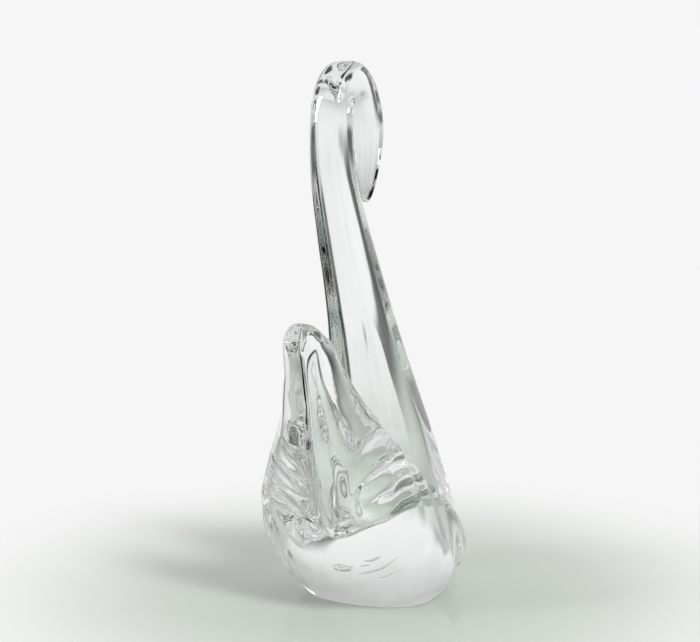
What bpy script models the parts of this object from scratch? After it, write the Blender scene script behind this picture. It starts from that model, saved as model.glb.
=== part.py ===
"""Crystal swan figurine, hot-worked from one gather of clear glass.

The swan faces -Y and stands on z = 0, with the origin at the middle of its ground foot. Its form is
one loft of closed rings, from the beak up over the head, down the neck and breast, and round the
hull to the tail's tip. Towards the tail each ring folds in, which makes the two wings and the hollow
between them. Ribs are pressed into the wings' flanks and a V into the tail's tip, and the foot is
ground flat.
"""

import math
from collections import namedtuple

import bmesh
import bpy

# Driving sizes, in metres
HEIGHT = 0.2425
RIB_DEPTH = 0.0028

# The pose is drawn on squares, 24.25 of them to the height: forward of a point under the neck, and up
GRID = HEIGHT / 24.25

# Each ring crosses the figure's middle plane at two places, its front and its back. On the neck it is
# an oval between them, half as wide as half. On the hull it folds, by a share, into wings with rims.
Ring = namedtuple("Ring", "front back half fold rim rim_out", defaults=(0.0, (0.0, 0.0), 0.0))
RINGS = (
    Ring(front=(-0.50, 18.05), back=(-0.38, 18.05), half=0.08),
    Ring(front=(-0.72, 18.45), back=(-0.22, 18.35), half=0.28),
    Ring(front=(-0.98, 19.20), back=(0.02, 19.10), half=0.45),
    Ring(front=(-1.14, 20.30), back=(0.28, 20.30), half=0.64),
    Ring(front=(-1.30, 21.55), back=(0.20, 21.95), half=0.71),
    Ring(front=(-1.85, 22.35), back=(-0.80, 23.55), half=0.74),
    Ring(front=(-2.50, 22.50), back=(-2.65, 24.25), half=0.82),
    Ring(front=(-3.00, 22.00), back=(-4.35, 23.10), half=0.80),
    Ring(front=(-3.05, 20.90), back=(-4.80, 21.00), half=0.81),
    Ring(front=(-2.70, 19.40), back=(-4.55, 18.90), half=0.85),
    Ring(front=(-1.85, 17.60), back=(-3.95, 16.70), half=0.93),
    Ring(front=(-0.70, 15.50), back=(-3.10, 14.50), half=1.08),
    Ring(front=(0.45, 13.40), back=(-2.35, 12.25), half=1.26),
    Ring(front=(1.60, 11.35), back=(-1.85, 10.00), half=1.50),
    Ring(front=(2.75, 9.30), back=(-1.60, 8.05), half=1.78),
    Ring(front=(3.90, 7.25), back=(-1.60, 6.60), half=2.07),
    Ring(front=(4.65, 5.40), back=(-1.75, 5.65), half=2.39),
    Ring(front=(4.95, 3.70), back=(-1.95, 5.10), half=2.84, fold=0.5, rim=(1.3, 4.80), rim_out=2.85),
    Ring(front=(4.65, 1.60), back=(-2.15, 4.45), half=3.50, fold=0.8, rim=(0.4, 4.60), rim_out=3.15),
    Ring(front=(3.80, -0.50), back=(-2.40, 4.00), half=4.00, fold=1.0, rim=(-0.2, 4.90), rim_out=3.40),
    Ring(front=(1.50, -1.20), back=(-2.80, 3.75), half=4.15, fold=1.0, rim=(-1.1, 5.60), rim_out=3.40),
    Ring(front=(-0.90, -0.75), back=(-3.30, 3.80), half=4.40, fold=1.0, rim=(-2.1, 6.50), rim_out=3.10),
    Ring(front=(-2.90, 1.00), back=(-3.90, 4.20), half=3.92, fold=1.0, rim=(-3.0, 7.70), rim_out=2.65),
    Ring(front=(-4.45, 2.75), back=(-4.60, 5.50), half=2.92, fold=1.0, rim=(-3.9, 9.00), rim_out=2.10),
    Ring(front=(-5.35, 5.10), back=(-5.20, 7.35), half=2.06, fold=1.0, rim=(-4.6, 10.30), rim_out=1.50),
    Ring(front=(-6.00, 7.50), back=(-5.70, 9.35), half=1.50, fold=1.0, rim=(-5.2, 11.50), rim_out=1.10),
    Ring(front=(-6.55, 10.10), back=(-6.15, 11.25), half=1.12, fold=1.0, rim=(-5.65, 12.50), rim_out=0.85),
    Ring(front=(-6.95, 12.00), back=(-6.10, 12.85), half=0.92, fold=0.5, rim=(-6.0, 13.10), rim_out=0.55),
    Ring(front=(-7.00, 12.95), back=(-6.50, 13.30), half=0.62),
    Ring(front=(-6.87, 13.32), back=(-6.73, 13.37), half=0.14),
)
NECK_SPANS = 3
HULL_SPANS = 6
POINTS = 36

# How round the neck's ovals are: 1 is an ellipse, and less is squarer
ROUNDNESS = 0.6

# Ribs crimped into each flank, between two rings, and as wide as a share of the ring's own round
RIBS = 7
RIB_RINGS = (17.2, 23.7)
RIB_BAND = (0.13, 0.42)

# A V pressed into the back of the tail's tip, in squares: its foot and top, how far forward it
# reaches, and its half width and depth at the top
NOTCH_UP = (12.05, 13.37)
NOTCH_FRONT = -6.0
NOTCH_HALF = 0.62
NOTCH_DEPTH = 0.42

# A folded ring's places from keel to floor: how far towards the rim, and how far out of the half width
SIDE = ((0.00, 0.00), (0.04, 0.38), (0.16, 0.70), (0.34, 0.93), (0.56, 1.02))


def mix(a, b, share):
    return tuple(p + (q - p) * share for p, q in zip(a, b))


def flow(values, at, closed=False):
    """The place at a number of steps along the Catmull-Rom curve through values."""
    count = len(values)
    i = int(at) if closed else min(int(at), count - 2)
    t = at - i
    if closed:
        a, b, c, d = (values[j % count] for j in range(i - 1, i + 3))
    else:
        b, c = values[i], values[i + 1]
        a = values[i - 1] if i else mix(c, b, 2)
        d = values[i + 2] if i + 2 < count else mix(b, c, 2)
    return tuple(
        0.5 * (2 * q + (r - p) * t + (2 * p - 5 * q + 4 * r - s) * t**2 + (3 * q - p - 3 * r + s) * t**3)
        for p, q, r, s in zip(a, b, c, d)
    )


def folded(ring):
    """The left half of a hull ring, from keel to floor: forward, up and out."""
    lip = 0.12 * ring.half
    places = [mix(ring.front, ring.rim, share) + (ring.half * out,) for share, out in SIDE]
    places.append(mix(ring.front, ring.rim, 0.88) + (ring.rim_out + 1.5 * lip,))
    places.append(ring.rim + (ring.rim_out,))
    wall = ring.rim_out - 4.0 * lip
    places.append(mix(ring.rim, ring.back, 0.35) + (wall,))
    places.append(mix(ring.rim, ring.back, 0.68) + (wall * (0.48 + 0.06 * ring.half),))
    places.append(ring.back + (0.0,))
    return places


def oval(ring, count):
    places = []
    for k in range(count):
        turn = math.pi * k / (count - 1)
        along = math.copysign(abs(math.cos(turn)) ** ROUNDNESS, math.cos(turn))
        out = ring.half * abs(math.sin(turn)) ** ROUNDNESS
        places.append(mix(ring.front, ring.back, (1 - along) / 2) + (out,))
    return places


def ring_places(ring):
    """The control places right round one ring."""
    hull = folded(ring)
    left = [mix(a, b, ring.fold) for a, b in zip(oval(ring, len(hull)), hull)]
    right = [(front, up, -out) for front, up, out in left[-2:0:-1]]
    return left + right


def bump(share):
    """A smooth hill from 0 over 1 back to 0, for shares from 0 to 1."""
    return math.sin(math.pi * share) ** 2 if 0 < share < 1 else 0.0


def crimp(step, share):
    """How far a flank is pressed out or in, at a step along the rings and a share of the ring's round."""
    along = (step - RIB_RINGS[0]) / (RIB_RINGS[1] - RIB_RINGS[0])
    side = min(share, 1 - share)
    across = (side - RIB_BAND[0]) / (RIB_BAND[1] - RIB_BAND[0])
    if not 0 < along < 1:
        return 0.0
    lobe = abs(math.sin(math.pi * RIBS * along)) ** 0.7 - 0.65
    return RIB_DEPTH * lobe * min(1.0, 4 * bump(along)) * min(1.0, 2.2 * bump(across))


def loft_steps():
    """The places along the rings where the loft has a row of its own."""
    steps = []
    for i, (ring, after) in enumerate(zip(RINGS, RINGS[1:])):
        spans = HULL_SPANS if ring.fold or after.fold else NECK_SPANS
        steps += [i + j / spans for j in range(spans)]
    return steps + [len(RINGS) - 1]


def loft(mesh):
    table = [sum(ring_places(ring), ()) for ring in RINGS]
    controls = len(table[0]) // 3
    pressed = {}
    rows = []
    for step in loft_steps():
        line = flow(table, step)
        places = [line[i : i + 3] for i in range(0, len(line), 3)]
        row = []
        for i in range(POINTS):
            front, up, out = flow(places, controls * i / POINTS, closed=True)
            row.append(mesh.verts.new((out * GRID, -front * GRID, up * GRID)))
            pressed[row[-1]] = crimp(step, i / POINTS)
        rows.append(row)
    for low, high in zip(rows, rows[1:]):
        for i in range(POINTS):
            j = (i + 1) % POINTS
            mesh.faces.new((low[i], high[i], high[j], low[j]))
    mesh.faces.new(rows[0])
    mesh.faces.new(rows[-1][::-1])
    bmesh.ops.recalc_face_normals(mesh, faces=mesh.faces)
    mesh.normal_update()
    for vert, depth in pressed.items():
        vert.co += vert.normal * depth


def notch_tail(mesh):
    """Press the V into the back of the tail's tip, deeper and wider towards the top."""
    low, high = NOTCH_UP
    for vert in mesh.verts:
        out, forward, up = abs(vert.co.x) / GRID, -vert.co.y / GRID, vert.co.z / GRID
        rise = (up - low) / (high - low)
        if rise > 0 and forward < NOTCH_FRONT and vert.normal.y > 0:
            depth = NOTCH_DEPTH * rise**0.6 * max(0.0, 1 - out / (NOTCH_HALF * rise))
            vert.co.y -= depth * vert.normal.y * GRID


def grind_foot(mesh):
    """Cut the underside flat, and bring the middle of that flat to the origin."""
    everything = mesh.verts[:] + mesh.edges[:] + mesh.faces[:]
    cut = bmesh.ops.bisect_plane(mesh, geom=everything, plane_no=(0, 0, 1), clear_inner=True)
    edge = [g for g in cut["geom_cut"] if isinstance(g, bmesh.types.BMEdge)]
    bmesh.ops.contextual_create(mesh, geom=edge)
    bmesh.ops.remove_doubles(mesh, verts=mesh.verts, dist=0.00005)
    bmesh.ops.recalc_face_normals(mesh, faces=mesh.faces)
    foot = [v.co.y for e in edge if e.is_valid for v in e.verts]
    bmesh.ops.translate(mesh, verts=mesh.verts, vec=(0, -(min(foot) + max(foot)) / 2, 0))


def crystal():
    material = bpy.data.materials.new("crystal")
    material.use_nodes = True
    shader = material.node_tree.nodes["Principled BSDF"]
    shader.inputs["Base Color"].default_value = (0.93, 0.96, 0.94, 1.0)
    shader.inputs["Roughness"].default_value = 0.03
    shader.inputs["IOR"].default_value = 1.545
    shader.inputs["Metallic"].default_value = 0.0
    shader.inputs["Transmission Weight"].default_value = 1.0
    return material


def make_swan():
    mesh = bmesh.new()
    loft(mesh)
    notch_tail(mesh)
    grind_foot(mesh)
    data = bpy.data.meshes.new("swan")
    mesh.to_mesh(data)
    mesh.free()
    data.materials.append(crystal())
    return bpy.data.objects.new("swan", data)


def main():
    for obj in list(bpy.data.objects):
        bpy.data.objects.remove(obj)
    collection = bpy.data.collections.new("crystal_swan")
    bpy.context.scene.collection.children.link(collection)
    collection.objects.link(make_swan())


main()
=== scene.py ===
# Crystal swan: the looks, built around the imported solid
import math

import bmesh
import bpy
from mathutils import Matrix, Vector, noise


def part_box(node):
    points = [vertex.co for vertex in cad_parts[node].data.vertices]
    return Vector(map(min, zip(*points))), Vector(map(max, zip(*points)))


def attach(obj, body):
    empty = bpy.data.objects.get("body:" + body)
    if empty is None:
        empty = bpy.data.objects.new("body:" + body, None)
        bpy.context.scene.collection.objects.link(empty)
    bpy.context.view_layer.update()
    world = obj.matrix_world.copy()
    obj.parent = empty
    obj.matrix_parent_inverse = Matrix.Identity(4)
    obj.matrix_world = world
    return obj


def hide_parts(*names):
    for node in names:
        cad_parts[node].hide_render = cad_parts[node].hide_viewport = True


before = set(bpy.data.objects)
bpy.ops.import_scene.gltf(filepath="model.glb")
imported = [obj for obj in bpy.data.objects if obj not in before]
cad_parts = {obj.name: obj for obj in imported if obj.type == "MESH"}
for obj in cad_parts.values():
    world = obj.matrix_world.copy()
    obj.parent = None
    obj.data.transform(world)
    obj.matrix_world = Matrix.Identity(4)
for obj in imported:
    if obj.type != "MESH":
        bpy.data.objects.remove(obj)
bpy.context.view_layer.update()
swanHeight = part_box("swan")[1].z
print("frame loaded, height", round(swanHeight, 4))


# Small tools

def node(tree, kind, place, **values):
    new = tree.nodes.new(kind)
    new.location = place
    for name, value in values.items():
        setattr(new, name, value)
    return new


def link(tree, start, end):
    tree.links.new(start, end)


def calculate(tree, place, operation, *values):
    new = node(tree, "ShaderNodeMath", place, operation=operation)
    for socket, value in zip(new.inputs, values):
        if isinstance(value, float):
            socket.default_value = value
        else:
            link(tree, value, socket)
    return new.outputs["Value"]


# Where the value runs over the first pair of numbers, the result runs over the second
def mapRange(tree, place, value, start, end=(0.0, 1.0), kind="SMOOTHSTEP"):
    new = node(tree, "ShaderNodeMapRange", place, interpolation_type=kind)
    new.inputs["From Min"].default_value, new.inputs["From Max"].default_value = start
    new.inputs["To Min"].default_value, new.inputs["To Max"].default_value = end
    link(tree, value, new.inputs["Value"])
    return new.outputs["Result"]


def finishPiece(mesh, name, material):
    data = bpy.data.meshes.new(name)
    mesh.to_mesh(data)
    mesh.free()
    data.materials.append(material)
    piece = bpy.data.objects.new(name, data)
    bpy.context.scene.collection.objects.link(piece)
    return piece


# Cloudy tint, which the glass and the air in it share

def makeCloudyTint():
    group = bpy.data.node_groups.new("cloudyTint", "ShaderNodeTree")
    for name, side, kind in (
        ("Place", "INPUT", "NodeSocketVector"),
        ("Size", "INPUT", "NodeSocketFloat"),
        ("Clear", "INPUT", "NodeSocketColor"),
        ("Deep", "INPUT", "NodeSocketColor"),
        ("Tint", "OUTPUT", "NodeSocketColor"),
        ("Cloud", "OUTPUT", "NodeSocketFloat"),
    ):
        group.interface.new_socket(name=name, in_out=side, socket_type=kind)
    given = node(group, "NodeGroupInput", (-700, 0))
    cloud = node(group, "ShaderNodeTexNoise", (-450, -100))
    link(group, given.outputs["Place"], cloud.inputs["Vector"])
    link(group, given.outputs["Size"], cloud.inputs["Scale"])
    blend = node(group, "ShaderNodeMix", (-200, 0), data_type="RGBA")
    link(group, cloud.outputs["Fac"], blend.inputs["Factor"])
    link(group, given.outputs["Clear"], blend.inputs["A"])
    link(group, given.outputs["Deep"], blend.inputs["B"])
    result = node(group, "NodeGroupOutput", (50, 0))
    link(group, blend.outputs["Result"], result.inputs["Tint"])
    link(group, cloud.outputs["Fac"], result.inputs["Cloud"])
    return group


cloudyTint = makeCloudyTint()


def makeClear(name, look):
    material = bpy.data.materials.new(name)
    material.use_nodes = True
    tree = material.node_tree
    shader = tree.nodes["Principled BSDF"]
    shader.inputs["IOR"].default_value = look["ior"]
    shader.inputs["Transmission Weight"].default_value = 1.0
    place = node(tree, "ShaderNodeTexCoord", (-1200, 0))
    tint = node(tree, "ShaderNodeGroup", (-600, 300), node_tree=cloudyTint)
    tint.inputs["Size"].default_value = look["cloudSize"]
    tint.inputs["Clear"].default_value = (*look["clear"], 1)
    tint.inputs["Deep"].default_value = (*look["deep"], 1)
    link(tree, place.outputs["Object"], tint.inputs["Place"])
    link(tree, tint.outputs["Tint"], shader.inputs["Base Color"])
    return material, shader, place.outputs["Object"], tint.outputs["Cloud"]


# Glass

glassLook = {
    "clear": (0.975, 0.985, 0.98),
    "deep": (0.925, 0.95, 0.937),
    "cloudSize": 18.0,
    "ior": 1.545,
    "groundRough": 0.22,  # the foot is ground
    "polishRough": 0.0,  # everything above it is fire polished
    "groundTop": (0.0002, 0.0008),  # metres up, where one turns into the other
    "waveSize": 30.0,  # slow waves all over
    "waveDetail": 1.0,
    "waveBump": 0.10,
    "waveHeight": 0.002,
}


def makeGlass():
    material, shader, place, _ = makeClear("crystal", glassLook)
    tree = material.node_tree
    height = node(tree, "ShaderNodeSeparateXYZ", (-900, -100))
    link(tree, place, height.inputs["Vector"])
    rough = mapRange(
        tree, (-600, -50), height.outputs["Z"], glassLook["groundTop"],
        (glassLook["groundRough"], glassLook["polishRough"]), "LINEAR",
    )
    link(tree, rough, shader.inputs["Roughness"])
    wave = node(tree, "ShaderNodeTexNoise", (-900, -350))
    wave.inputs["Scale"].default_value = glassLook["waveSize"]
    wave.inputs["Detail"].default_value = glassLook["waveDetail"]
    link(tree, place, wave.inputs["Vector"])
    bump = node(tree, "ShaderNodeBump", (-300, -350))
    bump.inputs["Strength"].default_value = glassLook["waveBump"]
    bump.inputs["Distance"].default_value = glassLook["waveHeight"]
    link(tree, wave.outputs["Fac"], bump.inputs["Height"])
    link(tree, bump.outputs["Normal"], shader.inputs["Normal"])
    return material


crystal = makeGlass()
print("glass made")


# Swan

swanShape = {
    "merge": 0.000002,  # metres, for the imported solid's loose triangles
    "groundFace": 0.00001,  # metres up, below which all belongs to the foot's ground face
    "joinFold": 80.0,  # degrees, how far two triangles may fold and still become one quad
    "joinSkew": 120.0,  # degrees, how skewed that quad may be
    "rounding": 2,
    "swirlSize": 48.0,
    "swirlTwist": 0.6,
    "swirlDepth": 0.0007,
    "swirlFrom": (0.018, 0.042),  # metres towards the tail, where they set in
    "swirlFoot": (0.002, 0.012),  # metres up, with none below it so that the foot stays flat
    "swirlTop": (0.085, 0.115),  # metres up, and calmer above it
    "swirlCalm": 0.85,
    "swirlSeed": 1,  # the twist draws on it, so without a seed each run would differ
}


def ease(value, low, high):
    share = min(1.0, max(0.0, (value - low) / (high - low)))
    return share * share * (3 - 2 * share)


# How far the glass stands out in the swirls that the tools left in the tail
def swirl(place):
    spot = place * swanShape["swirlSize"]
    spot += noise.noise_vector(spot) * swanShape["swirlTwist"]
    reach = ease(place.y, *swanShape["swirlFrom"]) * ease(place.z, *swanShape["swirlFoot"])
    reach *= 1 - swanShape["swirlCalm"] * ease(place.z, *swanShape["swirlTop"])
    return swanShape["swirlDepth"] * reach * noise.noise(spot)


def onGround(part):
    return all(vert.co.z < swanShape["groundFace"] for vert in part.verts)


def makeSwan():
    mesh = bmesh.new()
    mesh.from_mesh(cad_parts["swan"].data)
    bmesh.ops.remove_doubles(mesh, verts=mesh.verts, dist=swanShape["merge"])
    bmesh.ops.dissolve_faces(mesh, faces=[face for face in mesh.faces if onGround(face)])
    bmesh.ops.join_triangles(
        mesh,
        faces=[face for face in mesh.faces if len(face.verts) == 3],
        angle_face_threshold=math.radians(swanShape["joinFold"]),
        angle_shape_threshold=math.radians(swanShape["joinSkew"]),
    )
    crease = mesh.edges.layers.float.new("crease_edge")
    for edge in mesh.edges:
        if onGround(edge):
            edge[crease] = 1.0
    for face in mesh.faces:
        face.smooth = True
    print("swan cage", len(mesh.faces), "faces")
    cage = finishPiece(mesh, "cage", crystal)
    rounding = cage.modifiers.new("rounding", "SUBSURF")
    rounding.levels = swanShape["rounding"]
    rounded = cage.evaluated_get(bpy.context.evaluated_depsgraph_get())
    mesh = bmesh.new()
    mesh.from_mesh(rounded.to_mesh())
    bpy.data.objects.remove(cage)
    mesh.normal_update()
    noise.seed_set(swanShape["swirlSeed"])
    for vert in mesh.verts:
        vert.co += vert.normal * swirl(vert.co)
    piece = finishPiece(mesh, "swan_glass", crystal)
    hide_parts("swan")
    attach(piece, "root")


makeSwan()
print("swan made")


# Air sealed in the foot: a flattened bubble and a few drawn seeds

airLook = {
    "clear": (1.0, 1.0, 1.0),
    "deep": (0.95, 0.97, 0.96),
    "cloudSize": 400.0,
    "ior": 0.6472,  # air seen from within the glass
    "haze": (0.02, 0.05),
}

airShape = {
    "turn": 25.0,  # degrees, the way in which they are drawn out
    "around": 32,
    "rings": 16,
    "bowLevel": 0.3,  # share of the bow that hangs lower than the given middle
}

# Each one's middle, length, thickness, height, bow and slope
airPlaces = {
    "bubble": ((0.0030, 0.0265, 0.0262), 0.0060, 0.0034, 0.0024, 0.0, 0.0),
    "long seed": ((-0.0085, 0.0225, 0.0255), 0.0150, 0.0013, 0.0011, 0.0018, 0.42),
    "upper seed": ((-0.0060, 0.0225, 0.0295), 0.0080, 0.0012, 0.0009, 0.0005, 0.22),
    "outer seed": ((-0.0130, 0.0195, 0.0225), 0.0100, 0.0010, 0.0008, 0.0009, 0.50),
    "small seed": ((-0.0030, 0.0235, 0.0270), 0.0050, 0.0010, 0.0008, 0.0, 0.15),
}


def makeAirLook():
    material, shader, _, cloud = makeClear("sealed_air", airLook)
    tree = material.node_tree
    haze = mapRange(tree, (-450, 0), cloud, (0.0, 1.0), airLook["haze"], "LINEAR")
    link(tree, haze, shader.inputs["Roughness"])
    return material


def makeAir():
    turn = math.radians(airShape["turn"])
    across = Vector((-math.cos(turn), -math.sin(turn), 0))
    deep = Vector((math.sin(turn), -math.cos(turn), 0))
    mesh = bmesh.new()
    for middle, length, thick, tall, bow, slope in airPlaces.values():
        made = bmesh.ops.create_uvsphere(
            mesh, u_segments=airShape["around"], v_segments=airShape["rings"], radius=0.5
        )
        for vert in made["verts"]:
            share = vert.co.x * 2
            along, side, up = vert.co.x * length, vert.co.y * thick, vert.co.z * tall
            up += slope * along + bow * (share * share - airShape["bowLevel"])
            vert.co = Vector(middle) + across * along + deep * side + Vector((0, 0, up))
    for face in mesh.faces:
        face.smooth = True
    bmesh.ops.recalc_face_normals(mesh, faces=mesh.faces)
    piece = finishPiece(mesh, "sealed_air", makeAirLook())
    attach(piece, "root")


makeAir()
print("sealed air made")


# Floor

floorLook = {
    "half": 0.45,
    "drop": 0.0002,  # metres, so that it doesn't touch the ground foot
    "segments": 96,
    # The near colour is painted shade: the floor is darker around the swan's foot
    "near": (0.45, 0.495, 0.44),
    "far": (0.74, 0.76, 0.74),
    "paintedShade": (0.06, 0.26),  # metres from the middle, where the near colour's painted shade turns into the far floor colour
    "fade": (0.09, 0.25),  # and where the floor fades into the background
    "gloss": 0.16,
}


def makeFloor():
    material = bpy.data.materials.new("pale_floor")
    material.use_nodes = True
    tree = material.node_tree
    shader = tree.nodes["Principled BSDF"]
    shader.inputs["Roughness"].default_value = floorLook["gloss"]
    place = node(tree, "ShaderNodeTexCoord", (-1100, 0))
    away = node(tree, "ShaderNodeVectorMath", (-900, 0), operation="LENGTH")
    link(tree, place.outputs["Object"], away.inputs[0])
    # Painted shade: the floor is darker near the middle, around the swan's foot, and lighter
    # further out
    paintedShade = node(tree, "ShaderNodeMix", (-450, 100), data_type="RGBA")
    paintedShade.inputs["A"].default_value = (*floorLook["near"], 1)
    paintedShade.inputs["B"].default_value = (*floorLook["far"], 1)
    share = mapRange(tree, (-700, 100), away.outputs["Value"], floorLook["paintedShade"])
    link(tree, share, paintedShade.inputs["Factor"])
    link(tree, paintedShade.outputs["Result"], shader.inputs["Base Color"])
    fade = mapRange(tree, (-700, -200), away.outputs["Value"], floorLook["fade"], (1.0, 0.0))
    link(tree, fade, shader.inputs["Alpha"])
    mesh = bmesh.new()
    bmesh.ops.create_circle(
        mesh, cap_ends=True, segments=floorLook["segments"], radius=floorLook["half"]
    )
    bmesh.ops.translate(mesh, verts=mesh.verts, vec=(0, 0, -floorLook["drop"]))
    floor = finishPiece(mesh, "floor", material)


makeFloor()
print("floor made")


# Light. In the studio X runs to the viewer's left, Y towards the viewer and Z up

studio = {
    "cards": 4.0,  # how many dark cards there are
    "cardLight": 0.03,
    "cardHalf": 18.0,  # degrees, half of what one takes up
    "cardSoft": 0.25,
    "cardTop": (-0.22, 0.02),
    "cardFoot": (-0.36, -0.58),
    "footLight": 0.75,
    "nearFrom": (0.2, 0.9),
    "nearLight": 0.7,
    "flagLight": 0.12,
    "flagFrom": (0.085, 0.115),
    "flagTop": (-0.30, -0.36),
    "background": 0.92,
    "aim": 0.3,  # share of the swan's height, where the softboxes point
}

# How bright the room is from straight down, -1, to straight up, 1
roomHeights = (
    (-0.85, 0.38), (-0.60, 0.80), (-0.25, 0.97), (0.05, 0.88), (0.42, 0.55), (0.80, 0.85),
)

softboxes = {
    "key": {"place": (-0.9, 0.5, 0.9), "size": (0.22, 0.45), "power": 14.0},
    "fill": {"place": (0.8, 0.9, 0.7), "size": (0.2, 0.6), "power": 5.0},
}

photoView = {
    "turn": 25.0,  # degrees
    "tilt": 7.5,
    "height": 0.221,
    "distance": 0.716,
    "foot": (0.0, 0.01127, 0.0),
    "footAcross": 20.0,  # pixels, as are the next two
    "focal": 1600.0,
    "frameWidth": 700.0,
    "sensor": 36.0,  # millimetres
    "nearest": 0.01,
}


# Dark cards stand low at the diagonals, and fade out both upwards and downwards
def makeCards(tree, across, near, up):
    angle = calculate(tree, (-900, 100), "ARCTAN2", across, near)
    turns = calculate(tree, (-700, 100), "MULTIPLY", angle, studio["cards"])
    ring = calculate(tree, (-550, 100), "COSINE", turns)
    edge = math.cos(math.radians(180 - studio["cards"] * studio["cardHalf"]))
    sides = (edge - studio["cardSoft"], edge + studio["cardSoft"])
    cards = mapRange(tree, (-350, 100), ring, sides, (studio["cardLight"], 1.0))
    over = mapRange(tree, (-700, -200), up, studio["cardTop"])
    under = mapRange(tree, (-700, -300), up, studio["cardFoot"], (0.0, studio["footLight"]))
    walls = node(tree, "ShaderNodeMix", (-150, 0), data_type="FLOAT")
    walls.inputs["B"].default_value = 1.0
    link(tree, calculate(tree, (-450, -250), "MAXIMUM", over, under), walls.inputs["Factor"])
    link(tree, cards, walls.inputs["A"])
    return walls.outputs["Result"]


# The viewer's side is dimmer, and a black flag low down on the left draws the neck's dark band
def makeShade(tree, across, near, up):
    dim = mapRange(tree, (-700, -450), near, studio["nearFrom"], (1.0, studio["nearLight"]))
    beside = mapRange(tree, (-700, -950), across, studio["flagFrom"])
    below = mapRange(tree, (-700, -1200), up, studio["flagTop"])
    reach = calculate(tree, (-450, -1050), "MULTIPLY", beside, below)
    flag = mapRange(tree, (-250, -1050), reach, (0.0, 1.0), (1.0, studio["flagLight"]), "LINEAR")
    return calculate(tree, (-100, -450), "MULTIPLY", dim, flag)


def makeHeights(tree, up):
    levels = node(tree, "ShaderNodeValToRGB", (-700, -700))
    while len(levels.color_ramp.elements) < len(roomHeights):
        levels.color_ramp.elements.new(1.0)
    for stop, (height, light) in zip(levels.color_ramp.elements, roomHeights):
        stop.position = (height + 1) / 2
        stop.color = (light, light, light, 1)
    scaled = mapRange(tree, (-900, -700), up, (-1.0, 1.0), kind="LINEAR")
    link(tree, scaled, levels.inputs["Fac"])
    return levels.outputs["Color"]


def makeWorld():
    world = bpy.data.worlds.new("studio")
    bpy.context.scene.world = world
    world.use_nodes = True
    tree = world.node_tree
    place = node(tree, "ShaderNodeTexCoord", (-1500, 0))
    turn = node(tree, "ShaderNodeMapping", (-1300, 0))
    turn.inputs["Rotation"].default_value = (0, 0, math.radians(-photoView["turn"]))
    link(tree, place.outputs["Generated"], turn.inputs["Vector"])
    split = node(tree, "ShaderNodeSeparateXYZ", (-1100, 0))
    link(tree, turn.outputs["Vector"], split.inputs["Vector"])
    across, near, up = split.outputs
    cards = makeCards(tree, across, near, up)
    shade = makeShade(tree, across, near, up)
    back = tree.nodes["Background"]
    link(tree, makeHeights(tree, up), back.inputs["Color"])
    link(tree, calculate(tree, (0, 0), "MULTIPLY", cards, shade), back.inputs["Strength"])

    # Straight behind the swan the background is plain
    plain = node(tree, "ShaderNodeBackground", (0, -200))
    plain.inputs["Color"].default_value = (1, 1, 1, 1)
    plain.inputs["Strength"].default_value = studio["background"]
    path = node(tree, "ShaderNodeLightPath", (0, 300))
    pick = node(tree, "ShaderNodeMixShader", (250, 0))
    link(tree, path.outputs["Is Camera Ray"], pick.inputs["Fac"])
    link(tree, back.outputs["Background"], pick.inputs[1])
    link(tree, plain.outputs["Background"], pick.inputs[2])
    link(tree, pick.outputs["Shader"], tree.nodes["World Output"].inputs["Surface"])


def makeLights():
    aim = Vector((0, 0, swanHeight * studio["aim"]))
    for name, box in softboxes.items():
        data = bpy.data.lights.new(name, "AREA")
        data.shape = "RECTANGLE"
        data.size, data.size_y = box["size"]
        data.energy = box["power"]
        lamp = bpy.data.objects.new(name, data)
        lamp.location = box["place"]
        lamp.rotation_euler = (aim - lamp.location).to_track_quat("-Z", "Y").to_euler()
        bpy.context.scene.collection.objects.link(lamp)


makeWorld()
makeLights()
print("light made")


# Camera

def makeCamera():
    turn = math.radians(photoView["turn"])
    pan = math.atan(photoView["footAcross"] / photoView["focal"])
    tilt = math.radians(photoView["tilt"])
    ahead = Vector((math.sin(turn), -math.cos(turn), 0))
    place = Vector(photoView["foot"]) - ahead * photoView["distance"]
    place.z = photoView["height"]
    looking = Vector((math.sin(turn + pan), -math.cos(turn + pan), 0))
    looking = looking * math.cos(tilt) - Vector((0, 0, math.sin(tilt)))
    data = bpy.data.cameras.new("camera")
    data.sensor_width = photoView["sensor"]
    data.lens = photoView["sensor"] * photoView["focal"] / photoView["frameWidth"]
    data.clip_start = photoView["nearest"]
    camera = bpy.data.objects.new("camera", data)
    camera.location = place
    camera.rotation_euler = looking.to_track_quat("-Z", "Y").to_euler()
    bpy.context.scene.collection.objects.link(camera)
    bpy.context.scene.camera = camera


makeCamera()
print("camera made")


# Light paths, long enough for glass behind glass

rays = {"bounces": 24, "glossy": 8, "clamp": 2.5}


def setRays():
    scene = bpy.context.scene
    scene.view_settings.view_transform = "Standard"
    scene.cycles.max_bounces = rays["bounces"]
    scene.cycles.transmission_bounces = rays["bounces"]
    scene.cycles.glossy_bounces = rays["glossy"]
    scene.cycles.caustics_refractive = True
    scene.cycles.caustics_reflective = False
    scene.cycles.sample_clamp_indirect = rays["clamp"]
    scene.cycles.use_denoising = True


setRays()
print("light paths set")
